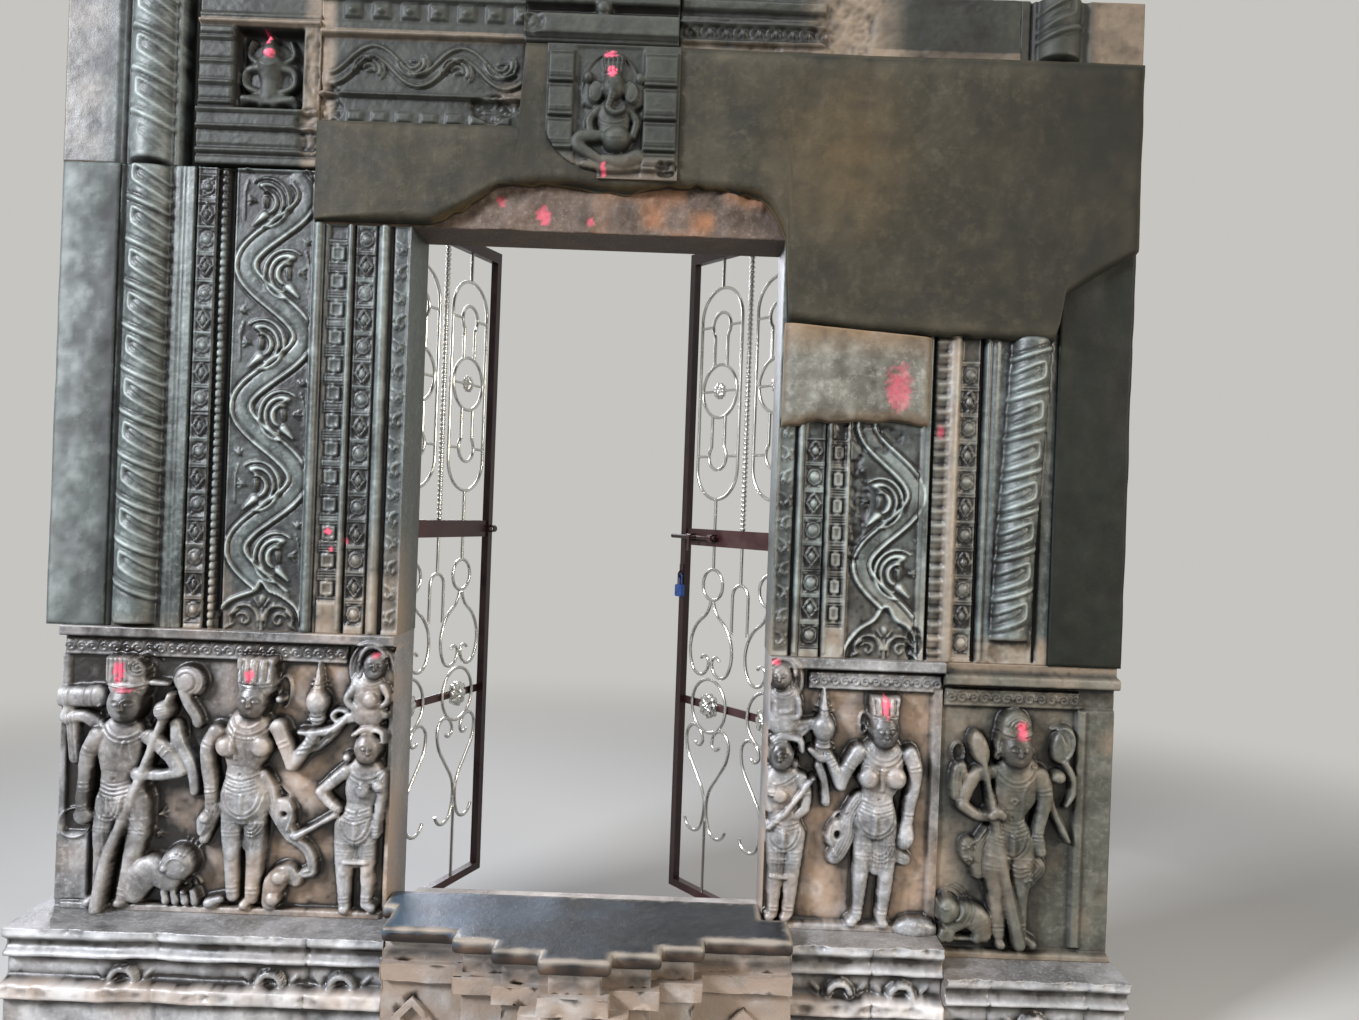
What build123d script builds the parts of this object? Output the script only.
from build123d import *
import os
from math import acos, cos, degrees, hypot, pi, radians, sin

os.makedirs("parts", exist_ok=True)

# Millimetres. X runs across the doorway, Y inward from the front of the jambs,
# Z up from the foot of the plinth. The origin is under the middle of the doorway.

# Doorway
half_opening = 500.0
sill_top = 400.0
soffit_level = 2197.0
half_frame = 1436.0
stone_depth = 190.0
frame_top = 2860.0
joint_gap = 0.2  # dry joint between neighbouring stones

# Levels of the stone courses
left_panel_foot, left_panel_head = 345.0, 1100.0
inner_panel_foot, inner_panel_head = 360.0, 1084.0
outer_panel_foot, outer_panel_head = 300.0, 1056.0
left_band_top = 2337.0  # outer bands of the left jamb pass the lintel's end
hood_edge = 1960.0  # lower edge of the plaster that hangs over the right jamb
patch_foot = 1690.0  # lower edge of the plaster patch under it

# Bands of the jambs, as distances from the middle of the doorway
bands = {
    "left": {
        "curl": (506.0, 547.0),
        "jewel": (598.0, 641.0),
        "ladder": (671.0, 720.0),
        "vine": (766.0, 972.0),
        "saw": (996.0, 1014.0),
        "gem": (1029.0, 1074.0),
        "torus": 1205.0,
        "stone_ends": (761.0, 1085.0, 1284.0),
    },
    "right": {
        "curl": (506.0, 545.0),
        "jewel": (578.0, 626.0),
        "ladder": (646.0, 688.0),
        "vine": (698.0, 884.0),
        "saw": (919.0, 951.0),
        "gem": (986.0, 1033.0),
        "torus": 1141.0,
        "stone_ends": (696.0, 908.0, 1240.0),
    },
}
band_sink = 9.0  # depth of a band's ground below its fillets
groove_depth = 26.0
groove_width = 14.0
torus_radius = 62.0
torus_inset = 22.0  # the torus axis lies this far behind the fillets
strap_height = 5.0
strap_pitch = 110.0
strap_rise = 44.0  # over the width of the torus
cell_pitch = 74.0
cell_height = 10.0
vine_wave = 380.0
vine_swing = 62.0
vine_width = 44.0
vine_height = 12.0
vine_curl = 36.0
vine_leaf = 13.0
edge_raise = 14.0

# Figure panels
ground_depth = 12.0  # the panel's ground lies behind the fillets
figure_relief = 42.0
limb_relief = 30.0
ledge_out = 34.0
ledge_high = 30.0
frieze_high = 56.0

# Plinth and threshold
left_plinth_out = 150.0
right_plinth_out = 118.0
outer_plinth_out = 144.0
left_niches, inner_niches, outer_niches = (-1135.0, -760.0, -577.0), (700.0, 860.0), (1196.0,)
sill_back = 60.0
sill_thick = 40.0
sill_side_out = 195.0
sill_centre = 35.0
sill_steps = ((310.0, 250.0), (205.0, 300.0), (88.0, 348.0))  # half width, how far out

# Lintel, plaster and the stones over it
plaster_out = 52.0
plaster_foot = 2204.0
patch_out = 34.0
coping_foot = 2690.0
frieze_foot = 2547.0
course_foot = 2345.0
plaque_out = 26.0

# Gate
hinge_x = 635.0
hinge_y = 240.0
open_angle = {"left": 69.0, "right": 53.0}
leaf_width = 620.0
leaf_foot = 205.0
leaf_top = 2325.0
stile = 25.0
stile_offset = 12.0  # from the hinge axis to the stile
top_rail_high = 37.0
lock_rail_foot, lock_rail_top = 1350.0, 1405.0
lock_rail_thick = 12.0
flat_rail_level = 831.0
flat_rail_high = 25.0
flat_rail_thick = 6.0
rod = 11.0
column_width = 215.0
loop_top, loop_foot = 2198.0, 1498.0
ring_level, ring_radius = 1856.0, 86.0
head_radius, neck_half, neck_radius = 44.0, 32.0, 20.0
head_top, bulb_foot = 2118.0, 1594.0
bulb_level, bulb_radius = 1225.0, 50.0
lower_ring_radius = 86.0
rosette_radius = 34.0
shell_radius = 26.0
fit_gap = 0.2  # between neighbouring scroll bars

# Hinges and the iron frame behind the jambs
pin_radius = 6.0
barrel_radius = 11.0
barrel_length = 46.0
pintle_length = 32.0
running_clearance = 0.08
hinge_levels = (505.0, 2000.0)
angle_leg = 50.0
angle_thick = 6.0
post_gap = 20.0
anchor_radius = 6.0

# Slide bolt and padlock
bolt_radius = 7.0
bolt_out = 37.0  # past the free stile
bolt_length = 230.0
guide_wall = 5.0
guide_width = 22.0
padlock_wide, padlock_high, padlock_thick = 34.0, 40.0, 15.0
shackle_radius = 2.6

signs = {"left": -1, "right": 1}
panel_head = {"left": left_panel_head, "right": inner_panel_head}
face = Plane.XZ  # the front of the jambs, seen from the front


def save(part, label):
    part.label = label
    export_step(part, "parts/" + label + ".step")


def block(x0, x1, z0, z1):
    # Rectangle between two distances and two levels, on a front plane
    with Locations(((x0 + x1) / 2, (z0 + z1) / 2)):
        Rectangle(abs(x1 - x0), z1 - z0)


def strip(x0, x1, y0, y1):
    # Rectangle between two distances and two depths, on a level plane
    with Locations(((x0 + x1) / 2, (y0 + y1) / 2)):
        Rectangle(abs(x1 - x0), abs(y1 - y0))


def ribbon(points, widths):
    # Outline of a tapering limb or stem that follows a few points
    left, right = [], []
    for i, (x, z) in enumerate(points):
        x0, z0 = points[max(i - 1, 0)]
        x1, z1 = points[min(i + 1, len(points) - 1)]
        run = hypot(x1 - x0, z1 - z0)
        nx, nz = -(z1 - z0) / run, (x1 - x0) / run
        left.append((x + nx * widths[i] / 2, z + nz * widths[i] / 2))
        right.append((x - nx * widths[i] / 2, z - nz * widths[i] / 2))
    Polygon(*left, *reversed(right), align=None)


def row_levels(foot, top, pitch):
    # Centres of the whole cells that fit a band
    count = max(int((top - foot) / pitch), 1)
    start = (foot + top) / 2 - pitch * (count - 1) / 2
    return [start + pitch * i for i in range(count)]


# Jamb stones: a plan of fillets, sunk bands and grooves, drawn up to the stone's top


def jamb_plan(sign, near, far, sunk, grooves):
    strip(sign * near, sign * far, 0, stone_depth)
    for a, b in sunk:
        with Locations((sign * (a + b) / 2, band_sink / 2)):
            Rectangle(b - a, band_sink, mode=Mode.SUBTRACT)
    for a in grooves:
        with Locations((sign * a, groove_depth / 2)):
            Rectangle(groove_width, groove_depth, mode=Mode.SUBTRACT)


def cells(sign, band, foot, top, shape):
    # Jewels of a band: squares on edge between bars, framed panels, leaves or teeth
    near, far = band
    middle, half = sign * (near + far) / 2, (far - near) / 2 - 6
    levels = row_levels(foot, top, cell_pitch)
    with Locations(*[(middle, z) for z in levels]):
        if shape == "jewel":
            RegularPolygon(half, 4)
        elif shape == "ladder":
            Rectangle(2 * half, cell_pitch * 0.62)
            Rectangle(half, cell_pitch * 0.3, mode=Mode.SUBTRACT)
        elif shape == "curl":
            ribbon([(-half, -half), (0, half / 3), (half, -half / 3)], [4, half, 3])
        elif shape == "saw":
            Rectangle(2 * half + 6, cell_pitch * 0.3)
    if shape in ("jewel", "saw"):
        bar = (2 * half, cell_pitch / 8) if shape == "jewel" else (2 * half + 6, cell_pitch * 0.3)
        with Locations(*[(middle, z - cell_pitch / 2) for z in levels]):
            Rectangle(*bar)


def oval(wide, high, sides=14):
    # Rounded outline with straight facets, for carved heads and bellies
    turns = [2 * pi * i / sides for i in range(sides)]
    Polygon(*[(wide * cos(a), high * sin(a)) for a in turns], align=None)


def vine(sign, band, foot, top):
    # A wavy stem that first bends to the left, with a curled leaf in each bay
    near, far = band
    middle = sign * (near + far) / 2
    bays = int((top - foot) / (vine_wave / 2))
    turns = [i / 8 for i in range(bays * 8 + 1)]
    stem = [(middle - vine_swing * sin(pi * t), foot + t * vine_wave / 2) for t in turns]
    ribbon(stem, [vine_width] * len(stem))
    for i in range(bays):
        side = 1 if i % 2 else -1
        x, z = middle - side * vine_swing * 0.3, foot + (i + 0.5) * vine_wave / 2
        curl = [radians(a) for a in range(-60, 241, 50)]
        points = [(x - side * vine_curl * cos(a), z + vine_curl * sin(a)) for a in curl]
        ribbon(points, [vine_leaf] * len(points))
        with Locations((x, z)):
            oval(vine_curl / 3, vine_curl / 3, 8)


def palmette(sign, band, foot):
    # Ogee leaf that closes the foot of the vine band
    near, far = band
    middle, half = sign * (near + far) / 2, (far - near) / 2 - 1
    rise = half * 1.25
    rim = ((1, 0), (0.96, 0.25), (0.8, 0.45), (0.5, 0.62), (0.22, 0.76), (0, 1))
    right = [(middle + half * x, foot + rise * z) for x, z in rim]
    left = [(middle - half * x, foot + rise * z) for x, z in rim[-2::-1]]
    Polygon(*right, *left, align=None)
    with Locations((middle, foot + rise * 0.4)):
        oval(half * 0.3, half * 0.3, 8)


vine_start = {"left": 1225.0, "right": 1235.0}
vine_end_level = {"left": left_band_top - 20, "right": patch_foot}
inner_top = {"left": soffit_level, "right": patch_foot}
outer_top = {"left": left_band_top, "right": hood_edge - 20}
plain_foot = {"left": strap_rise, "right": strap_rise + 50}
jamb_top = {"left": left_band_top, "right": soffit_level}

for name, sign in signs.items():
    band = bands[name]
    foot = panel_head[name] + joint_gap
    inner_end, vine_end, torus_end = band["stone_ends"]
    lip = foot + 14  # plain foot under the carved cells

    with BuildPart() as inner_jamb:
        with BuildSketch(Plane.XY.offset(foot)):
            jamb_plan(
                sign,
                half_opening,
                inner_end,
                [band["curl"], band["jewel"], band["ladder"]],
                [band["curl"][1] + 8, (band["jewel"][1] + band["ladder"][0]) / 2],
            )
        extrude(amount=soffit_level - foot)
        if name == "left":  # moulded edge towards the vine band
            with BuildSketch(Plane.XY.offset(foot)):
                with Locations((sign * (inner_end - 16), 0)):
                    Ellipse(15, edge_raise)
                strip(sign * inner_end, sign * (inner_end - 40), 0, stone_depth / 2)
            extrude(amount=soffit_level - foot)
        with BuildSketch(face.offset(-band_sink)):
            cells(sign, band["curl"], lip, inner_top[name], "curl")
            cells(sign, band["jewel"], lip, inner_top[name], "jewel")
            cells(sign, band["ladder"], lip, inner_top[name], "ladder")
        extrude(amount=cell_height)
    save(inner_jamb.part, name + "_inner_jamb")

    with BuildPart() as vine_jamb:
        with BuildSketch(Plane.XY.offset(foot)):
            sunk = [band["vine"]]
            grooves = [band["vine"][1] + 11]
            if name == "left":
                sunk += [band["saw"], band["gem"]]
            jamb_plan(sign, inner_end + joint_gap, vine_end, sunk, grooves)
        extrude(amount=jamb_top[name] - foot)
        with BuildSketch(face.offset(-band_sink)):
            vine(sign, band["vine"], vine_start[name], vine_end_level[name])
            palmette(sign, band["vine"], foot)
            if name == "left":
                cells(sign, band["saw"], lip, jamb_top[name], "saw")
                cells(sign, band["gem"], lip, jamb_top[name], "jewel")
        extrude(amount=vine_height)
    save(vine_jamb.part, name + "_vine_jamb")

    with BuildPart() as straps:
        with BuildSketch(face.offset(-torus_inset)):
            for z in row_levels(foot + plain_foot[name], outer_top[name], strap_pitch):
                for half, keep in ((0.5, Mode.ADD), (0.24, Mode.SUBTRACT)):
                    reach, high = torus_radius * 2 * half, strap_pitch * 0.84 * half
                    lean = sign * strap_rise * half
                    x = sign * band["torus"]
                    Polygon(
                        (x - reach, z - high / 2 - lean),
                        (x + reach, z - high / 2 + lean),
                        (x + reach, z + high / 2 + lean),
                        (x - reach, z + high / 2 - lean),
                        align=None,
                        mode=keep,
                    )
        extrude(amount=torus_radius * 2)
        with BuildSketch(Plane.XY.offset(foot)):
            with Locations((sign * band["torus"], torus_inset)):
                Circle(torus_radius + strap_height)
                Circle(torus_radius - strap_height, mode=Mode.SUBTRACT)
        extrude(amount=outer_top[name] - foot, mode=Mode.INTERSECT)

    with BuildPart() as torus_jamb:
        with BuildSketch(Plane.XY.offset(foot)):
            if name == "right":
                jamb_plan(sign, vine_end + joint_gap, torus_end, [band["saw"], band["gem"]], [band["gem"][1] + 9])
            else:
                jamb_plan(sign, vine_end + joint_gap, torus_end, [], [])
        extrude(amount=jamb_top[name] - foot)
        with BuildSketch(Plane.XY.offset(foot)):
            with Locations((sign * band["torus"], torus_inset)):
                Circle(torus_radius)
        extrude(amount=outer_top[name] - foot)
        if name == "right":
            with BuildSketch(face.offset(-band_sink)):
                cells(sign, band["saw"], lip, outer_top[name], "saw")
                cells(sign, band["gem"], lip, outer_top[name], "jewel")
            extrude(amount=cell_height)
        add(straps.part)
    save(torus_jamb.part, name + "_torus_jamb")

# Plain slabs outside the jambs
with BuildPart() as left_edge_slab:
    with BuildSketch(face.offset(8)):
        inside = -bands["left"]["stone_ends"][2] - joint_gap
        block(-half_frame, inside, left_panel_head + joint_gap, left_band_top)
    extrude(amount=-stone_depth - 8)
save(left_edge_slab.part, "left_edge_slab")

slab_notch = 190.0  # the raised face of the right slab is cut aslant under the plaster
slab_raise = 10.0
with BuildPart() as right_edge_slab:
    inside = bands["right"]["stone_ends"][2] + joint_gap
    with BuildSketch(face):
        block(inside, half_frame, inner_panel_head + joint_gap, soffit_level)
    extrude(amount=-stone_depth)
    with BuildSketch(face):
        Polygon(
            (inside, inner_panel_head + joint_gap),
            (half_frame, inner_panel_head + joint_gap),
            (half_frame, hood_edge + slab_notch),
            (inside, hood_edge + 60),
            align=None,
        )
    extrude(amount=slab_raise)
save(right_edge_slab.part, "right_edge_slab")

# Figure panels: each is one block with a ledge, a curled frieze and figures in relief


def panel_body(x0, x1, foot, head):
    with BuildSketch(face.offset(-ground_depth)) as ground:
        block(x0, x1, foot, head)
    extrude(ground.sketch, amount=-(stone_depth - ground_depth))
    with BuildSketch(face.offset(-ground_depth)) as ledge:
        block(x0, x1, head - ledge_high, head)
    extrude(ledge.sketch, amount=ledge_out + ground_depth)
    with BuildSketch(face.offset(-ground_depth)) as frieze:
        block(x0, x1, head - ledge_high - frieze_high, head - ledge_high)
        block(x0, x1, foot, foot + 22)
    extrude(frieze.sketch, amount=ground_depth + 6)


def panel_window(x0, x1, foot, head):
    # What reaches past the panel's edge is cut off there
    with Locations(((x0 + x1) / 2, (foot + head) / 2)):
        Rectangle(x1 - x0 - 2, head - foot - 2, mode=Mode.INTERSECT)


frieze_curl = ((-22, -16), (-14, 14), (12, 12), (16, -8), (0, -8))


def frieze_curls(x0, x1, level):
    count = int((x1 - x0) / frieze_high)
    for i in range(count):
        x = (x0 + x1) / 2 + frieze_high * (i - (count - 1) / 2)
        ribbon([(x + px, level + pz) for px, pz in frieze_curl], [5, 9, 9, 9, 5])


def body_outline(x, foot, unit, lean):
    # Legs, hips, waist, chest, neck, head and crown; unit is a hundredth of the height
    hip_x, chest_x, head_x = x + 2 * lean * unit, x, x + lean * unit
    for side, turn in ((-1, 1.0), (1, 1.35)):
        ribbon(
            [
                (hip_x + side * 6 * unit, foot + 46 * unit),
                (hip_x + side * 7 * unit * turn, foot + 26 * unit),
                (hip_x + side * 7 * unit * turn, foot + 5 * unit),
            ],
            [13 * unit, 10 * unit, 7 * unit],
        )
        ribbon(
            [(hip_x + side * 5 * unit, foot + 3 * unit), (hip_x + side * 13 * unit * turn, foot + 2 * unit)],
            [6 * unit, 4 * unit],
        )
    ribbon(
        [
            (hip_x, foot + 40 * unit),
            (hip_x, foot + 48 * unit),
            (chest_x + lean * unit, foot + 57 * unit),
            (chest_x, foot + 68 * unit),
            (chest_x, foot + 76 * unit),
            (head_x, foot + 79 * unit),
            (head_x, foot + 83 * unit),
        ],
        [22 * unit, 25 * unit, 15 * unit, 24 * unit, 22 * unit, 8 * unit, 8 * unit],
    )
    with Locations((head_x, foot + 88 * unit)):
        oval(6.4 * unit, 7.6 * unit)
    ribbon([(head_x, foot + 91 * unit), (head_x, foot + 100 * unit)], [13 * unit, 8 * unit])


def body_swell(x, foot, unit, lean):
    # Chest, belly, thighs, face and girdle stand further out
    hip_x, head_x = x + 2 * lean * unit, x + lean * unit
    for side in (-1, 1):
        with Locations((x + side * 5 * unit, foot + 69 * unit)):
            oval(4.4 * unit, 4.4 * unit, 10)
        ribbon(
            [(hip_x + side * 6 * unit, foot + 40 * unit), (hip_x + side * 7 * unit, foot + 28 * unit)],
            [8 * unit, 5 * unit],
        )
    with Locations((hip_x, foot + 51 * unit)):
        oval(7 * unit, 5 * unit)
    with Locations((hip_x, foot + 43 * unit)):
        Rectangle(24 * unit, 3 * unit)
    with Locations((head_x, foot + 88 * unit)):
        oval(4.4 * unit, 5.6 * unit)
    ribbon([(head_x, foot + 94 * unit), (head_x, foot + 98 * unit)], [10 * unit, 7 * unit])


def limbs(x, foot, unit, paths):
    # Each path: points in hundredths of the height, then its widths
    for points, widths in paths:
        ribbon([(x + px * unit, foot + pz * unit) for px, pz in points], [w * unit for w in widths])


def figure(who, paths):
    unit = who["tall"] / 100
    body_outline(who["x"], who["foot"], unit, who["lean"])
    limbs(who["x"], who["foot"], unit, paths)


guardian = {"x": -half_frame + 214, "foot": 367.0, "tall": 655.0, "lean": -1.5}
guardian_limbs = (
    ([(-11, 75), (-17, 66), (-18, 52), (-15, 34)], [9, 7, 6, 5]),  # hanging arm
    ([(-15, 34), (-18, 28), (-14, 22)], [5, 9, 4]),
    ([(11, 75), (16, 66), (10, 58)], [9, 7, 5]),
    ([(-11, 77), (-20, 80), (-21, 92)], [7, 6, 5]),  # raised arms
    ([(11, 77), (21, 78), (22, 92)], [7, 6, 5]),
    ([(-25, 94), (-15, 94)], [8, 8]),  # drum
    ([(15, 93), (22, 98), (29, 92), (26, 86)], [4, 4, 4, 4]),
    ([(20, 90), (8, 50), (-9, 2)], [3.4, 3.4, 3.4]),  # staff
    ([(27, 96), (30, 84), (27, 70), (32, 56)], [5, 5, 4, 3]),  # cobra
    ([(12, 45), (18, 36), (15, 26)], [4, 6, 5]),  # scarf
)
goddess = {"x": -884.0, "foot": 367.0, "tall": 650.0, "lean": 1.5}
goddess_limbs = (
    ([(-11, 75), (-15, 62), (-17, 48), (-19, 34)], [8, 6, 5, 4]),
    ([(-21, 33), (-18, 24)], [8, 6]),
    ([(11, 75), (17, 64), (20, 72), (21, 80)], [8, 6, 5, 5]),
    ([(17, 82), (25, 82)], [5, 8]),
    ([(22, 84), (22, 90), (22, 97)], [9, 5, 8]),
    ([(12, 46), (20, 36), (17, 24)], [4, 6, 5]),
    ([(-12, 46), (-16, 34), (-12, 26)], [3, 4, 3]),
    ([(14, 22), (20, 16), (26, 4)], [6, 9, 7]),
)
attendant = {"x": -572.0, "foot": 352.0, "tall": 500.0, "lean": -1.5}
attendant_limbs = (
    ([(-11, 75), (-21, 66), (-11, 56)], [9, 8, 6]),
    ([(11, 75), (13, 60), (8, 50)], [8, 7, 6]),
    ([(-26, 40), (-16, 44), (-4, 52)], [5, 7, 6]),
)
guardian_beast = (([(72, 27), (102, 55), (162, 75), (192, 125)], [20, 60, 70, 40]),)
attendant_beast = (([(-188, 25), (-158, 85), (-128, 175)], [50, 60, 30]),)
naga_limbs = (
    ([(0, 112), (2, 122), (0, 136), (0, 142)], [22, 15, 24, 14]),
    ([(-12, 108), (12, 106)], [9, 9]),
)

left_inner_x = -half_opening - 2
with BuildPart() as left_figure_panel:
    panel_body(-half_frame + 46, left_inner_x, left_panel_foot, left_panel_head)
    with BuildSketch(face.offset(6)):
        frieze_curls(-half_frame + 50, -660.0, left_panel_head - ledge_high - frieze_high / 2)
    extrude(amount=8)
    with BuildSketch(face.offset(-ground_depth)):
        figure(guardian, guardian_limbs)
        figure(goddess, goddess_limbs)
        figure(attendant, attendant_limbs)
        limbs(attendant["x"], attendant["foot"], attendant["tall"] / 100, naga_limbs)
        limbs(guardian["x"], left_panel_foot, 1.0, guardian_beast)
        limbs(attendant["x"], left_panel_foot, 1.0, attendant_beast)
        panel_window(-half_frame + 46, left_inner_x, left_panel_foot, left_panel_head)
    extrude(amount=limb_relief + ground_depth)
    with BuildSketch(face.offset(-ground_depth)):
        for who in (guardian, goddess, attendant):
            body_swell(who["x"], who["foot"], who["tall"] / 100, who["lean"])
    extrude(amount=figure_relief + ground_depth)
save(left_figure_panel.part, "left_figure_panel")

panel_split = 966.0
right_goddess = {"x": 800.0, "foot": 384.0, "tall": 620.0, "lean": -1.5}
right_goddess_limbs = (
    ([(-11, 75), (-18, 64), (-21, 74), (-22, 82)], [8, 6, 5, 5]),
    ([(-26, 84), (-18, 84)], [8, 5]),
    ([(-24, 86), (-24, 92), (-24, 101)], [9, 5, 7]),
    ([(11, 75), (16, 62), (17, 48), (17, 34)], [8, 6, 5, 4]),
    ([(-12, 46), (-20, 36), (-16, 26)], [4, 6, 5]),
    ([(13, 44), (20, 38), (18, 30)], [4, 5, 3]),
)
right_attendant = {"x": 556.0, "foot": 384.0, "tall": 505.0, "lean": 1.5}
right_attendant_limbs = (
    ([(-9, 75), (-9, 62), (-4, 54)], [6, 6, 5]),
    ([(11, 75), (20, 66), (10, 58)], [9, 8, 6]),
    ([(20, 66), (-2, 46)], [4, 4]),
)
right_naga = (([(-16, 521), (-8, 566), (-11, 616), (-11, 656)], [60, 40, 70, 40]),)
right_mound = (([(45, 1), (80, 16), (130, 0)], [20, 44, 20]),)
with BuildPart() as right_inner_panel:
    panel_body(half_opening + 2, panel_split - joint_gap, inner_panel_foot, inner_panel_head)
    with BuildSketch(face.offset(6)):
        frieze_curls(630.0, panel_split, inner_panel_head - ledge_high - frieze_high / 2)
    extrude(amount=8)
    with BuildSketch(face.offset(-ground_depth)):
        figure(right_goddess, right_goddess_limbs)
        figure(right_attendant, right_attendant_limbs)
        limbs(right_attendant["x"], right_attendant["foot"], 1.0, right_naga)
        limbs(right_goddess["x"], right_goddess["foot"], 1.0, right_mound)
        panel_window(half_opening + 2, panel_split, inner_panel_foot, inner_panel_head)
    extrude(amount=limb_relief + ground_depth)
    with BuildSketch(face.offset(-ground_depth)):
        for who in (right_goddess, right_attendant):
            body_swell(who["x"], who["foot"], who["tall"] / 100, who["lean"])
    extrude(amount=figure_relief + ground_depth)
save(right_inner_panel.part, "right_inner_panel")

right_guardian = {"x": half_frame - 264, "foot": 324.0, "tall": 600.0, "lean": 1.0}
right_guardian_limbs = (
    ([(-11, 75), (-17, 66), (-10, 57)], [9, 7, 5]),
    ([(11, 75), (17, 64), (17, 50), (14, 38)], [9, 7, 6, 5]),
    ([(-11, 77), (-21, 76), (-23, 84)], [7, 6, 5]),
    ([(11, 77), (21, 78), (23, 66)], [7, 6, 5]),
    ([(-20, 92), (-12, 60), (-1, 4)], [4, 4, 6]),  # club
    ([(22, 96), (27, 84), (22, 70), (26, 52)], [4, 5, 4, 3]),  # cobra
    ([(10, 46), (14, 36), (10, 28)], [4, 6, 5]),
)
lion = (([(19, 45), (44, 100), (84, 80), (134, 45)], [30, 70, 90, 40]),)
with BuildPart() as right_outer_panel:
    panel_body(panel_split, half_frame - 8, outer_panel_foot, outer_panel_head)
    with BuildSketch(face):  # plain rough strip between the ledge and the torus
        block(panel_split, half_frame - 8, outer_panel_head, inner_panel_head)
    extrude(amount=-stone_depth)
    with BuildSketch(face.offset(6)):
        frieze_curls(panel_split + 20, 1330.0, outer_panel_head - ledge_high - frieze_high / 2)
    extrude(amount=8)
    with BuildSketch(face.offset(-ground_depth)):
        figure(right_guardian, right_guardian_limbs)
        limbs(panel_split, outer_panel_foot, 1.0, lion)
        block(half_frame - 104, half_frame - 84, outer_panel_foot + 22, outer_panel_head - 90)
        panel_window(panel_split, half_frame - 8, outer_panel_foot, outer_panel_head)
    extrude(amount=limb_relief + ground_depth)
    with BuildSketch(face.offset(-ground_depth)):
        unit = right_guardian["tall"] / 100
        body_swell(right_guardian["x"], right_guardian["foot"], unit, right_guardian["lean"])
    extrude(amount=figure_relief + ground_depth)
save(right_outer_panel.part, "right_outer_panel")

# Plinths: one moulded profile under each panel, with round-headed niches in its sunk band


# Each corner of the plinth's front: how far in from the ledge, and how far below the top
plinth_corners = ((20, 188), (-10, 176), (-10, 138), (34, 132), (34, 76), (6, 66))
hollow_middle = (30, 40)
nosing_high = 20.0
niche_drop, niche_radius, niche_hole, niche_out = 130.0, 38.0, 20.0, 24.0
sunk_band = 34.0


def plinth_profile(top, out):
    # Ledge, hollow, cyma, sunk band, fillet and foot, drawn in depth and level
    corners = [(-out + set_in, top - drop) for set_in, drop in plinth_corners]
    nosing = (-out, top - nosing_high)
    middle = (-out + hollow_middle[0], top - hollow_middle[1])
    with BuildLine() as outline:
        Polyline((stone_depth, 0), (corners[0][0], 0), *corners)
        ThreePointArc(corners[-1], middle, nosing)
        Polyline(nosing, (-out, top), (stone_depth, top), (stone_depth, 0))
    make_face(outline.edges())


def plinth(x0, x1, top, out, niches):
    with BuildSketch(Plane.YZ.offset(x0)) as moulding:
        plinth_profile(top, out)
    extrude(moulding.sketch, amount=x1 - x0)
    with BuildSketch(face.offset(out - sunk_band)) as arches:
        for x in niches:
            with Locations((x, top - niche_drop)):
                Circle(niche_radius)
                Circle(niche_hole, mode=Mode.SUBTRACT)
        block(x0, x1, 0, top - niche_drop - 2)
    extrude(arches.sketch, amount=niche_out)


sill_left, sill_right = -464.0, 567.0
sill_notch = 50.0  # in front of the jambs the slab runs this far out before it widens
with BuildPart() as left_plinth:
    plinth(-half_frame, sill_left - joint_gap, left_panel_foot - joint_gap, left_plinth_out, left_niches)
save(left_plinth.part, "left_plinth")

with BuildPart() as right_inner_plinth:
    plinth(sill_right + joint_gap, panel_split - joint_gap, inner_panel_foot - joint_gap, right_plinth_out, inner_niches)
save(right_inner_plinth.part, "right_inner_plinth")

with BuildPart() as right_outer_plinth:
    plinth(panel_split, half_frame, outer_panel_foot - joint_gap, outer_plinth_out, outer_niches)
save(right_outer_plinth.part, "right_outer_plinth")

# Threshold: a dark sill slab with a stepped front on a course of moulded blocks


def sill_front(shrink):
    # Side parts and three steps to the front, narrowed and drawn back by shrink
    strip(sill_left, sill_right, -sill_side_out + shrink, -sill_notch)
    for half, out in sill_steps:
        strip(sill_centre - half + shrink, sill_centre + half - shrink, -out + shrink, -sill_notch)


course_top = sill_top - sill_thick
with BuildPart() as threshold_slab:
    with BuildSketch(Plane.XY.offset(course_top)):
        sill_front(0)
        strip(-half_opening + 0.5, half_opening - 0.5, -sill_notch, sill_back)
    extrude(amount=sill_thick)
save(threshold_slab.part, "threshold_slab")

with BuildPart() as threshold_course:
    with BuildSketch():
        sill_front(26)
        strip(sill_left, sill_right, -sill_notch, stone_depth)
    extrude(amount=course_top)
    with BuildSketch(Plane.XY.offset(course_top - 96)):
        sill_front(4)
    extrude(amount=44)
    # cushions under the steps
    with BuildSketch(Plane.XY.offset(course_top - 150)):
        with Locations(*[(sill_centre + x, -sill_steps[2][1] + 40) for x in (-95, 0, 95)]):
            RectangleRounded(70, 72, 20)
    extrude(amount=54)
    # lozenge leaf blocks at both sides
    with BuildSketch(face.offset(sill_side_out - 26)):
        with Locations((-380, course_top - 190), (450, course_top - 190)):
            RegularPolygon(52, 4)
            RegularPolygon(30, 4, mode=Mode.SUBTRACT)
    extrude(amount=18)
save(threshold_course.part, "threshold_course")

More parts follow.
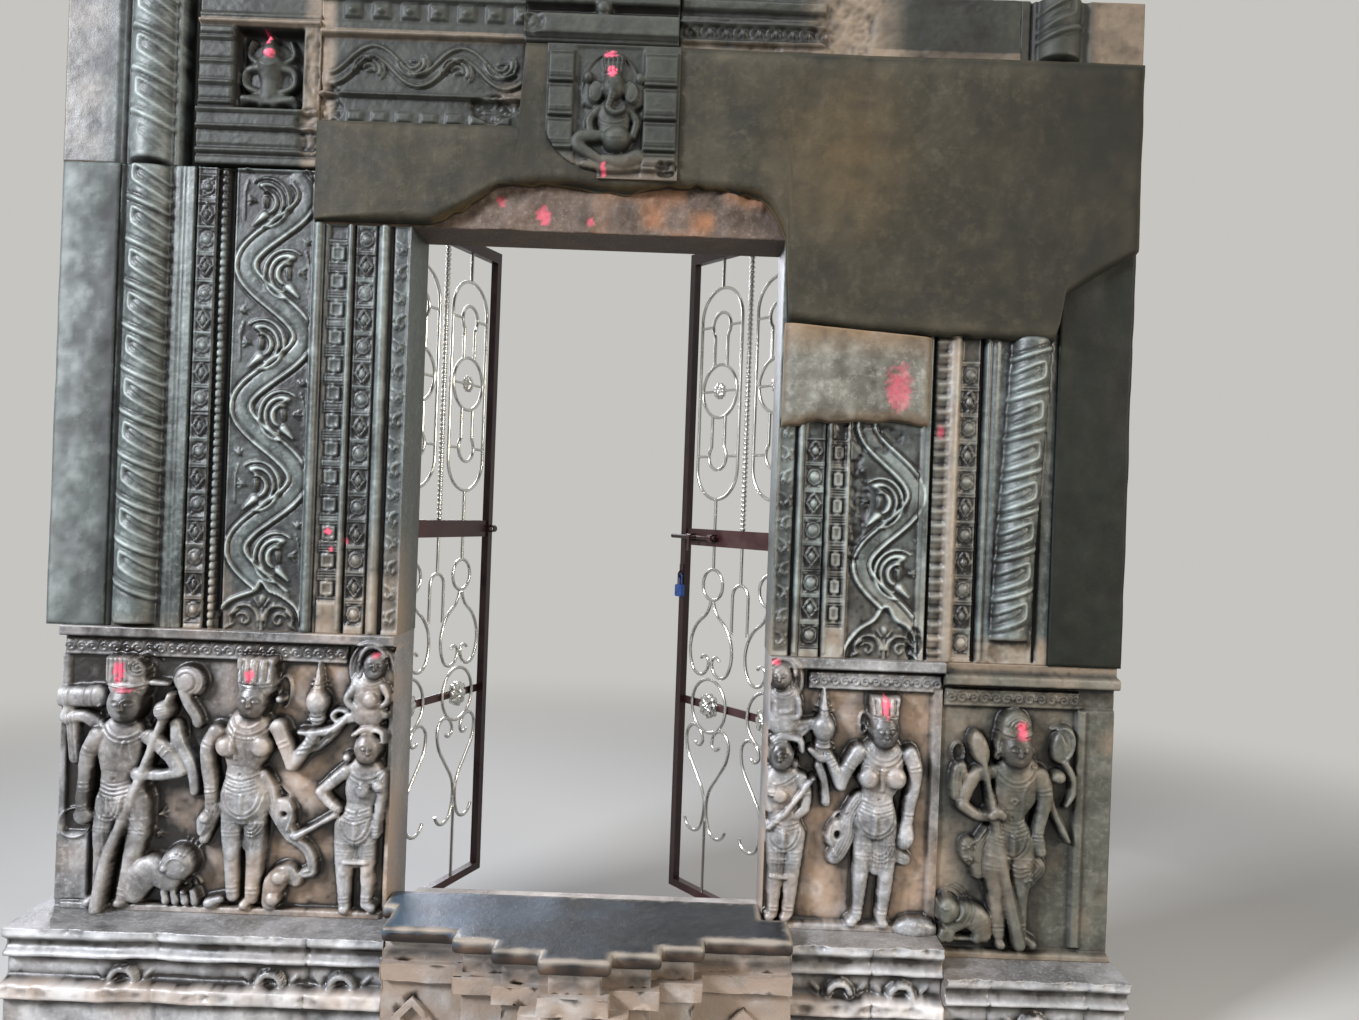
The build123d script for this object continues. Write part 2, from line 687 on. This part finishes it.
# Lintel beam and the plaster coat that hangs over it
lintel_left = -bands["left"]["stone_ends"][0] + joint_gap
beam_set = 6.0  # the beam's face lies behind the jamb face
frieze_end = -213.0
with BuildPart() as lintel_stone:
    with BuildSketch(face.offset(-beam_set)):
        block(lintel_left, half_frame, soffit_level + joint_gap, course_foot)
    extrude(amount=-(stone_depth - beam_set))
    with BuildSketch(face.offset(-beam_set)):
        block(lintel_left, half_frame, course_foot, frieze_foot - 80)
        block(frieze_end + joint_gap, half_frame, frieze_foot - 80, coping_foot - joint_gap)
    extrude(amount=-(stone_depth - beam_set))
save(lintel_stone.part, "lintel_stone")

break_left, break_right = (-270.0, 2298.0), (426.0, 2310.0)
plaque_left, plaque_right, plaque_foot, plaque_top = -149.0, 205.0, 2330.0, 2684.0
right_slab_x = bands["right"]["stone_ends"][2]
with BuildPart() as lintel_plaster:
    with BuildSketch(face.offset(-beam_set + joint_gap)):
        with BuildLine():
            Polyline((lintel_left, plaster_foot), (-435, plaster_foot), break_left, (-90, 2318), (60, 2306))
            Polyline((60, 2306), (240, 2320), break_right, (half_opening + 2, plaster_foot))
            Polyline((half_opening + 2, plaster_foot), (half_opening + 8, hood_edge + 14))
            ThreePointArc(
                (half_opening + 8, hood_edge + 14), (700, hood_edge - 4), (right_slab_x - 10, hood_edge - 16)
            )
            Polyline(
                (right_slab_x - 10, hood_edge - 16),
                (right_slab_x - 4, hood_edge + 100),
                (half_frame, hood_edge + slab_notch + 40),
                (half_frame, coping_foot - joint_gap),
                (frieze_end + 2 * joint_gap, coping_foot - joint_gap),
                (frieze_end + 2 * joint_gap, frieze_foot - 80),
                (lintel_left, frieze_foot - 80),
                (lintel_left, plaster_foot),
            )
        make_face()
    extrude(amount=plaster_out - beam_set)
    with BuildSketch(face.offset(-beam_set)):
        block(half_opening, right_slab_x, hood_edge - 60, soffit_level)
        block(right_slab_x, half_frame, hood_edge - 60, soffit_level + 5)
    extrude(amount=beam_set + joint_gap, mode=Mode.SUBTRACT)
    with BuildSketch(face.offset(-beam_set)):
        block(plaque_left, plaque_right, plaque_foot, plaque_top)
    extrude(amount=plaster_out, mode=Mode.SUBTRACT)
save(lintel_plaster.part, "lintel_plaster")

# Plaster patch that bulges out over the head of the right inner jamb
patch_x0, patch_x1 = half_opening + 6, 898.0
with BuildPart() as right_plaster_patch:
    with BuildSketch(face.offset(joint_gap)):
        with BuildLine():
            Polyline((patch_x0, patch_foot), (patch_x0, hood_edge + 6), (patch_x1, hood_edge - 22))
            Line((patch_x1, hood_edge - 22), (patch_x1, patch_foot + 34))
            ThreePointArc((patch_x1, patch_foot + 34), (700, patch_foot + 30), (patch_x0, patch_foot))
        make_face()
    extrude(amount=patch_out, taper=20)
save(right_plaster_patch.part, "right_plaster_patch")

# Plaque with the seated elephant-headed god, let into the plaster
plaque_mid = (plaque_left + plaque_right) / 2 + 6
plaque_face = plaster_out - 2
plaque_limbs = (
    ([(0, 2550), (0, 2505), (34, 2480), (44, 2500)], [26, 22, 16, 12]),  # trunk
    ([(0, 2600), (0, 2650)], [50, 26]),  # crown
    ([(90, 2380), (-20, 2390), (-66, 2416)], [44, 40, 30]),  # legs on the cushion
    ([(-56, 2404), (-14, 2356)], [34, 26]),
)
with BuildPart() as ganesha_plaque:
    with BuildSketch(face.offset(-beam_set + joint_gap)):
        with BuildLine():
            Polyline(
                (plaque_left + 1, plaque_top - 1),
                (plaque_right - 1, plaque_top - 1),
                (plaque_right - 1, plaque_foot + 40),
                (plaque_right - 40, plaque_foot + 1),
                (plaque_left + 150, plaque_foot + 1),
            )
            ThreePointArc(
                (plaque_left + 150, plaque_foot + 1),
                (plaque_left + 52, plaque_foot + 78),
                (plaque_left + 1, plaque_foot + 190),
            )
            Line((plaque_left + 1, plaque_foot + 190), (plaque_left + 1, plaque_top - 1))
        make_face()
    extrude(amount=plaque_face + beam_set - joint_gap)
    with BuildSketch(face.offset(plaque_face)):
        for level in (2524, 2604):
            block(plaque_left + 4, plaque_left + 80, level, level + 70)
        block(plaque_left + 60, plaque_left + 90, 2420, 2500)
        for level in (2400, 2492, 2584):
            block(plaque_right - 88, plaque_right - 4, level, level + 82)
    extrude(amount=10)
    with BuildSketch(face.offset(plaque_face)):
        with Locations((plaque_mid, 2440)):
            oval(44, 46)  # belly
        with Locations((plaque_mid, 2560)):
            oval(34, 40)  # head
        for side in (-1, 1):
            with Locations((plaque_mid + side * 44, 2570)):
                oval(20, 30, 10)  # ears
            ribbon(
                [(plaque_mid + side * 36, 2500), (plaque_mid + side * 76, 2470), (plaque_mid + side * 70, 2550)],
                [34, 22, 18],
            )
        for points, widths in plaque_limbs:
            ribbon([(plaque_mid + x, z) for x, z in points], widths)
    extrude(amount=plaque_out)
    with BuildSketch(face.offset(plaque_face)):
        with Locations((plaque_mid, 2440)):
            oval(32, 34)
        with Locations((plaque_mid, 2562)):
            oval(22, 26)
    extrude(amount=plaque_out + 12)
save(ganesha_plaque.part, "ganesha_plaque")

# Stones over the lintel
pillar_end = 1085.0
with BuildPart() as upper_left_torus:
    with BuildSketch(Plane.XY.offset(left_band_top + joint_gap)):
        strip(-half_frame, -1110, 0, stone_depth)
        with Locations((-1205, torus_inset)):
            Circle(torus_radius)
        strip(-1110, -pillar_end - 20, 60, stone_depth)
    extrude(amount=frame_top - left_band_top - joint_gap)
    with BuildSketch(face.offset(-torus_inset)):
        for z in row_levels(left_band_top + 30, frame_top, strap_pitch):
            Polygon((-1270, z + 20), (-1140, z - 40), (-1140, z - 24), (-1270, z + 36), align=None)
    extrude(amount=torus_radius - 6)
save(upper_left_torus.part, "upper_left_torus")

niche_left, niche_right, niche_foot = -1003.0, -796.0, 2480.0
with BuildPart() as niche_stone:
    with BuildSketch(face):
        block(-pillar_end, lintel_left - 2 * joint_gap, course_foot + joint_gap, frame_top)
    extrude(amount=-stone_depth)
    with BuildSketch(face):
        block(niche_left, niche_right, niche_foot, niche_foot + 245)
    extrude(amount=-40, mode=Mode.SUBTRACT)
    with BuildSketch(face):
        for level in (2500, 2560, 2640, 2700):
            block(-pillar_end, niche_left - 6, level, level + 22)
        block(-pillar_end, lintel_left - 2 * joint_gap, course_foot + 40, course_foot + 90)
        block(niche_left - 6, niche_right + 6, niche_foot + 245, niche_foot + 275)
    extrude(amount=14)
    seat_x = (niche_left + niche_right) / 2
    with BuildSketch(face.offset(-40)):
        ribbon([(seat_x - 78, 2520), (seat_x, 2512), (seat_x + 78, 2522)], [30, 44, 30])
        ribbon([(seat_x, 2520), (seat_x, 2560), (seat_x, 2610), (seat_x, 2630)], [50, 40, 76, 24])
        with Locations((seat_x, 2656)):
            oval(22, 27)
        for side in (-1, 1):
            ribbon(
                [(seat_x + side * 40, 2608), (seat_x + side * 62, 2568), (seat_x + side * 14, 2534)], [24, 20, 18]
            )
    extrude(amount=34)
save(niche_stone.part, "niche_stone")

with BuildPart() as vine_frieze:
    with BuildSketch(face):
        block(lintel_left, frieze_end, frieze_foot - 80 + joint_gap, frame_top)
    extrude(amount=-stone_depth)
    with BuildSketch(face):
        turns = [i / 6 for i in range(4 * 6 + 1)]
        stem = [(-690 + 110 * t, 2622 - 46 * sin(pi * t)) for t in turns]
        ribbon(stem, [20] * len(stem))
        with Locations((-635, 2638), (-525, 2606), (-415, 2638), (-305, 2606)):
            oval(22, 18, 8)
        block(-740, frieze_end, 2706, 2726)
        for i in range(6):
            block(-690 + i * 78, -640 + i * 78, 2748, 2800)
        block(-740, -230, frieze_foot - 76, frieze_foot - 20)
    extrude(amount=16)
save(vine_frieze.part, "vine_frieze")

ledge_end = 196.0
upper_ledge = 2794.0
torus_start = 1110.0  # where the plain coping ends and the right torus begins
with BuildPart() as top_centre_ledge:
    with BuildSketch(face):
        block(frieze_end + joint_gap, ledge_end, coping_foot, frame_top)
    extrude(amount=-stone_depth)
    with BuildSketch(Plane.YZ.offset(frieze_end + joint_gap)):
        Polygon((0, coping_foot), (-46, coping_foot + 8), (-46, coping_foot + 66), (0, coping_foot + 84), align=None)
        Polygon((0, upper_ledge), (-30, upper_ledge), (-30, frame_top), (0, frame_top), align=None)
    extrude(amount=ledge_end - frieze_end - joint_gap)
    with BuildSketch(face):
        with Locations((-6, upper_ledge - 14)):
            Circle(24)
    extrude(amount=40)
save(top_centre_ledge.part, "top_centre_ledge")

with BuildPart() as upper_right_frieze:
    with BuildSketch(face):
        block(ledge_end + joint_gap, torus_start, coping_foot, frame_top)
    extrude(amount=-stone_depth)
    with BuildSketch(face):
        block(200, 610, coping_foot + 52, coping_foot + 66)
        block(200, 590, 2800, 2830)
        for i in range(8):
            block(206 + i * 48, 240 + i * 48, coping_foot + 70, coping_foot + 96)
    extrude(amount=14)
save(upper_right_frieze.part, "upper_right_frieze")

with BuildPart() as upper_right_torus:
    with BuildSketch(Plane.XY.offset(coping_foot)):
        strip(torus_start + joint_gap, half_frame, 0, stone_depth)
        with Locations((1213, torus_inset)):
            Circle(torus_radius)
    extrude(amount=frame_top - coping_foot)
save(upper_right_torus.part, "upper_right_torus")

# Iron frame behind the jambs: two angle posts and a head angle, bolted to the stone
post_x = hinge_x + post_gap
iron_y = stone_depth + joint_gap
for name, sign in signs.items():
    with BuildPart() as post:
        with BuildSketch(Plane.XY.offset(leaf_foot)):
            outside = sign * (post_x + angle_thick)
            strip(outside, outside - sign * angle_leg, iron_y, iron_y + angle_thick)
            strip(sign * post_x, sign * (post_x + angle_thick), iron_y, iron_y + angle_leg + 10)
        extrude(amount=leaf_top + 20 - leaf_foot)
    save(post.part, name + "_gate_post")

with BuildPart() as gate_head:
    with BuildSketch(Plane.YZ.offset(-post_x - angle_thick)):
        strip(iron_y, iron_y + angle_thick, leaf_top + 20 + joint_gap, leaf_top + 20 + angle_leg)
        strip(iron_y, iron_y + angle_leg, leaf_top + 20 + angle_leg - angle_thick, leaf_top + 20 + angle_leg)
    extrude(amount=2 * (post_x + angle_thick))
save(gate_head.part, "gate_head")

anchor_levels = (360.0, 1100.0, 1700.0, 2200.0)
anchor_x = post_x + angle_thick - angle_leg / 2 - 6
with BuildPart() as anchor_bolts:
    with BuildSketch(Plane.XZ.offset(-iron_y - angle_thick)):
        for x in (-anchor_x, anchor_x):
            for z in anchor_levels:
                with Locations((x, z)):
                    RegularPolygon(anchor_radius * 1.8, 6)
    extrude(amount=-8)
save(anchor_bolts.part, "anchor_bolts")


def pintle_block(sign):
    # Lug from the post to the pin's collar
    strip(sign * hinge_x, sign * (post_x - joint_gap / 2), hinge_y - 5, hinge_y + 5)
    with Locations((sign * hinge_x, hinge_y)):
        Circle(barrel_radius)


with BuildPart() as hinge_pintles:
    for level in hinge_levels:
        with BuildSketch(Plane.XY.offset(level)):
            for sign in signs.values():
                pintle_block(sign)
        extrude(amount=pintle_length)
        with BuildSketch(Plane.XY.offset(level + pintle_length)):
            for sign in signs.values():
                with Locations((sign * hinge_x, hinge_y)):
                    Circle(pin_radius)
        extrude(amount=barrel_length + 6)
save(hinge_pintles.part, "hinge_pintles")

# The two leaves. Each is drawn flat, x from the hinge axis and y up, and then hung at its angle
column_centres = (
    stile_offset + stile + (leaf_width - 2 * stile - stile_offset) * 0.25,
    stile_offset + stile + (leaf_width - 2 * stile - stile_offset) * 0.75,
)
mid_rod_x = (column_centres[0] + column_centres[1]) / 2
free_edge = leaf_width
inner_free = leaf_width - stile
inner_hinge = stile_offset + stile
loop_half = column_width / 2 - rod / 2
rail_foot = leaf_top - top_rail_high


def leaf_plane(name):
    turn = radians(open_angle[name])
    if name == "left":
        along, out = (cos(turn), sin(turn), 0), (sin(turn), -cos(turn), 0)
        return Plane((-hinge_x, hinge_y, 0), x_dir=along, z_dir=out)
    along, out = (-cos(turn), sin(turn), 0), (sin(turn), cos(turn), 0)
    return Plane((hinge_x, hinge_y, 0), x_dir=along, z_dir=out)


def hang(part, name, label):
    placed = leaf_plane(name) * part
    save(placed, name + "_" + label)


def sweep_rod(path, radius=rod / 2):
    # Round rod along a path of lines and tangent arcs
    with BuildSketch(Plane(origin=path @ 0, z_dir=path % 0)) as section:
        Circle(radius)
    sweep(section.sketch, path=path)


def straight_rod(x, z0, z1):
    with BuildSketch(Plane((x, z0, 0), x_dir=(1, 0, 0), z_dir=(0, 1, 0))) as section:
        Circle(rod / 2)
    extrude(section.sketch, amount=z1 - z0)


def tie_rod(x0, x1, z):
    with BuildSketch(Plane((x0, z, 0), x_dir=(0, 1, 0), z_dir=(1, 0, 0))) as section:
        Circle(rod / 2 - 1)
    extrude(section.sketch, amount=x1 - x0)


def loop_path(x):
    with BuildLine() as path:
        low, high = loop_foot + column_width / 2, loop_top - column_width / 2
        side = Line((x - loop_half, low), (x - loop_half, high))
        head = JernArc(side @ 1, side % 1, loop_half, -180)
        back = Line(head @ 1, (x + loop_half, low))
        JernArc(back @ 1, back % 1, loop_half, -180)
    return path.wires()[0]


def keyhole_path(x, start, end, up):
    # Two rods that rise from the ring, part at the neck and close in a round head
    turn = degrees(acos((neck_half + neck_radius) / (neck_radius + head_radius)))
    reach = abs(end - start) - head_radius - (neck_radius + head_radius) * sin(radians(turn))
    with BuildLine() as path:
        first = Line((x - neck_half, start), (x - neck_half, start + up * reach))
        out = JernArc(first @ 1, first % 1, neck_radius, up * turn)
        head = JernArc(out @ 1, out % 1, head_radius, -up * (180 + 2 * turn))
        back = JernArc(head @ 1, head % 1, neck_radius, up * turn)
        Line(back @ 1, (x + neck_half, start))
    return path.wires()[0]


def ring(x, z, radius):
    # The bar's ends meet low on one side, away from everything that is joined to the ring
    c, s = cos(radians(-25)), sin(radians(-25))
    cut = Plane((x + radius * c, z + radius * s, 0), x_dir=(c, s, 0), z_dir=(-s, c, 0))
    with BuildSketch(cut) as section:
        Circle(rod / 2)
    revolve(section.sketch, axis=Axis((x, z, 0), (0, 0, 1)))


def scroll_path(x, z, side, runs):
    # Chains of tangent runs from one point, mirrored by side. A run is a radius and a turn,
    # or no radius and a straight length.
    with BuildLine() as path:
        for heading, steps in runs:
            start = (x, z)
            tangent = (side * cos(radians(heading)), sin(radians(heading)))
            for radius, turn in steps:
                if radius:
                    piece = JernArc(start, tangent, radius, side * turn)
                else:
                    piece = PolarLine(start, turn, direction=tangent)
                start, tangent = piece @ 1, piece % 1
    return path.wires()[0]


def arch_path(x, z, radius, foot):
    with BuildLine() as path:
        leg = Line((x - radius, foot), (x - radius, z))
        top = JernArc(leg @ 1, leg % 1, radius, -180)
        Line(top @ 1, (x + radius, foot))
    return path.wires()[0]


# Lower scrolls: an onion under each bulb, then a heart whose sides run on into hooks
onion_run = ((-80, ((80, 50), (120, -90), (44, -150), (20, -150))),)
heart_run = ((90, ((120, -38), (0, 84), (120, 38), (42, 180), (20, 150))), (-90, ((150, 25), (45, 140))))
onion_top = bulb_level - bulb_radius - rod / 2 - 2 * fit_gap
heart_foot = 503.0
strand_x = rod / 2 + fit_gap
arch_radius, arch_level, arch_foot = 38.0, 1195.0, 1075.0

for name in signs:
    front = 1 if name == "left" else -1

    for label, x in (("hinge_stile", stile_offset), ("free_stile", inner_free)):
        with BuildPart() as upright:
            with BuildSketch(Plane.XZ.offset(-leaf_foot)):
                strip(x, x + stile, -stile / 2, stile / 2)
            extrude(amount=-(leaf_top - leaf_foot))
        hang(upright.part, name, label)

    for label, z0, z1, thick in (
        ("top_rail", rail_foot, leaf_top, stile),
        ("lock_rail", lock_rail_foot, lock_rail_top, lock_rail_thick),
        ("bottom_rail", leaf_foot, leaf_foot + stile, stile),
    ):
        with BuildPart() as rail:
            with BuildSketch(Plane.XY.offset(-thick / 2)):
                block(inner_hinge, inner_free, z0, z1)
            extrude(amount=thick)
        hang(rail.part, name, label)

    with BuildPart() as flower_rail:  # flat bar behind the lower rings
        with BuildSketch(Plane.XY.offset(-front * (rod / 2 + 0.3))):
            with Locations(((inner_hinge + inner_free) / 2, flat_rail_level)):
                Rectangle(inner_free - inner_hinge, flat_rail_high)
        extrude(amount=-front * flat_rail_thick)
    hang(flower_rail.part, name, "flower_rail")

    with BuildPart() as twisted_rod:
        straight_rod(mid_rod_x, lock_rail_top, rail_foot)
    hang(twisted_rod.part, name, "twisted_rod")

    with BuildPart() as upper_scrollwork:
        for x in column_centres:
            sweep_rod(loop_path(x))
            ring(x, ring_level, ring_radius)
            sweep_rod(keyhole_path(x, ring_level + ring_radius - 6, head_top - rod / 2, 1))
            sweep_rod(keyhole_path(x, ring_level - ring_radius + 6, bulb_foot + rod / 2, -1))
            straight_rod(x, loop_top - rod / 2, rail_foot)
            straight_rod(x, lock_rail_top, loop_foot + rod / 2)
            for level in (head_top - rod / 2 - head_radius, bulb_foot + rod / 2 + head_radius):
                for side in (-1, 1):
                    ends = sorted((x + side * head_radius, x + side * loop_half))
                    tie_rod(ends[0], ends[1], level)
    hang(upper_scrollwork.part, name, "upper_scrollwork")

    with BuildPart() as lower_scrollwork:
        for x in column_centres:
            straight_rod(x, bulb_level + bulb_radius, lock_rail_foot)
            ring(x, bulb_level, bulb_radius)
            ring(x, flat_rail_level, lower_ring_radius)
            for side in (-1, 1):
                sweep_rod(scroll_path(x + side * 8, onion_top, side, onion_run))
                sweep_rod(scroll_path(x + side * strand_x, heart_foot, side, heart_run))
            straight_rod(x, leaf_foot + stile, heart_foot - 46)
        sweep_rod(arch_path(mid_rod_x, arch_level, arch_radius, arch_foot))
        straight_rod(mid_rod_x, arch_level + arch_radius, lock_rail_foot)
    hang(lower_scrollwork.part, name, "lower_scrollwork")

    with BuildPart() as rosettes:
        for x in column_centres:
            with BuildSketch(Plane.XY.offset(-front * (rod / 2 + 0.3))):
                with Locations((x, flat_rail_level)):
                    Circle(rosette_radius)
            extrude(amount=front * 6)
            with BuildSketch(Plane.XY.offset(front * (6 - rod / 2 - 0.3))):
                with Locations((x, flat_rail_level)):
                    Circle(rosette_radius * 0.6)
            extrude(amount=front * 10)
            # shell on a thin tie across the upper ring
            reach = ring_radius - rod / 2 - fit_gap
            tie_rod(x - reach, x + reach, ring_level)
            with BuildSketch(Plane.XY.offset(-rod / 2)):
                with Locations((x, ring_level)):
                    Ellipse(shell_radius, shell_radius * 0.7)
            extrude(amount=rod)
    hang(rosettes.part, name, "rosettes")

    with BuildPart() as hinge_barrels:
        for level in hinge_levels:
            with BuildSketch(Plane.XZ.offset(-level - pintle_length)):
                with Locations((0, 0)):
                    Circle(barrel_radius)
                strip(0, stile_offset - joint_gap / 2, -5, 5)
                Circle(pin_radius + running_clearance, mode=Mode.SUBTRACT)
            extrude(amount=-barrel_length)
    hang(hinge_barrels.part, name, "hinge_barrels")

# Slide bolt on the right leaf's lock rail, with two guides and a keeper on the left leaf.
# The right leaf's front is its plane's back.
bolt_level = (lock_rail_foot + lock_rail_top) / 2
bolt_axis = stile / 2 + bolt_radius + 1.5  # clears the faces of both free stiles
knob_x = free_edge - 95.0
guide_xs = (free_edge - 170.0, free_edge - 62.0)


def across(x, y, z):
    # Plane square to the bolt; its own x runs out from the leaf's front and y up
    return Plane((x, y, z), x_dir=(0, 0, 1 if z > 0 else -1), z_dir=(1, 0, 0))


def saddle(seat, hole):
    # Section of a guide seated on a face, round the bolt's hole
    outer = bolt_radius + guide_wall
    drop = bolt_axis - seat
    Circle(outer)
    with Locations((-drop / 2, 0)):
        Rectangle(drop, 2 * outer)
    with Locations((-drop - outer, 0)):
        Rectangle(2 * outer, 3 * outer, mode=Mode.SUBTRACT)
    Circle(hole, mode=Mode.SUBTRACT)


with BuildPart() as slide_bolt:
    with BuildSketch(across(free_edge + bolt_out - bolt_length, bolt_level, -bolt_axis)):
        Circle(bolt_radius)
    extrude(amount=bolt_length)
    with BuildSketch(Plane((knob_x, bolt_level, -bolt_axis), x_dir=(1, 0, 0), z_dir=(0, 0, -1))):
        Circle(5)
    extrude(amount=34)
    with BuildSketch(Plane((knob_x, bolt_level + 6, -bolt_axis - 32), x_dir=(1, 0, 0), z_dir=(0, -1, 0))):
        Circle(6)
    extrude(amount=50)
hang(slide_bolt.part, "right", "slide_bolt")

with BuildPart() as bolt_guides:
    for x in guide_xs:
        with BuildSketch(across(x - guide_width / 2, bolt_level, -bolt_axis)):
            saddle(lock_rail_thick / 2, bolt_radius + running_clearance)
        extrude(amount=guide_width)
hang(bolt_guides.part, "right", "bolt_guides")

with BuildPart() as bolt_keeper:
    with BuildSketch(across(inner_free + 1.5, bolt_level, bolt_axis)):
        saddle(stile / 2, bolt_radius + 1)
    extrude(amount=guide_width)
hang(bolt_keeper.part, "left", "bolt_keeper")

# Hasp plate low on the free stile, with a padlock in its staple
hasp_level, hasp_high, hasp_thick = 1250.0, 34.0, 4.0
staple_radius = 11.0
hasp_x = inner_free + stile / 2
hasp_face = -stile / 2 - hasp_thick
with BuildPart() as hasp_staple:
    with BuildSketch(Plane.XY.offset(-stile / 2)):
        block(inner_free + 3, free_edge - 3, hasp_level - hasp_high, hasp_level + hasp_high)
    extrude(amount=-hasp_thick)
    staple_end = Plane((hasp_x, hasp_level + staple_radius, hasp_face), x_dir=(1, 0, 0), z_dir=(0, 0, -1))
    with BuildSketch(staple_end):
        Circle(3)
    revolve(axis=Axis((hasp_x, hasp_level, hasp_face), (-1, 0, 0)), revolution_arc=180)
hang(hasp_staple.part, "right", "hasp_staple")

shackle_level = hasp_level - 9
lock_z = -stile / 2 - padlock_thick / 2 - 0.4
lock_top = hasp_level - hasp_high - 0.4
with BuildPart() as padlock:
    with BuildSketch(Plane.XY.offset(lock_z + padlock_thick / 2)):
        with Locations((hasp_x, lock_top - padlock_high / 2)):
            RectangleRounded(padlock_wide, padlock_high, 6)
    extrude(amount=-padlock_thick)
    with BuildSketch(Plane((hasp_x - 10, lock_top, lock_z), x_dir=(1, 0, 0), z_dir=(0, 1, 0))):
        with Locations((0, 0), (20, 0)):
            Circle(shackle_radius)
    extrude(amount=shackle_level - lock_top)
    with BuildSketch(Plane((hasp_x - 10, shackle_level, lock_z), x_dir=(1, 0, 0), z_dir=(0, 1, 0))):
        Circle(shackle_radius)
    revolve(axis=Axis((hasp_x, shackle_level, lock_z), (0, 0, -1)), revolution_arc=180)
hang(padlock.part, "right", "padlock")
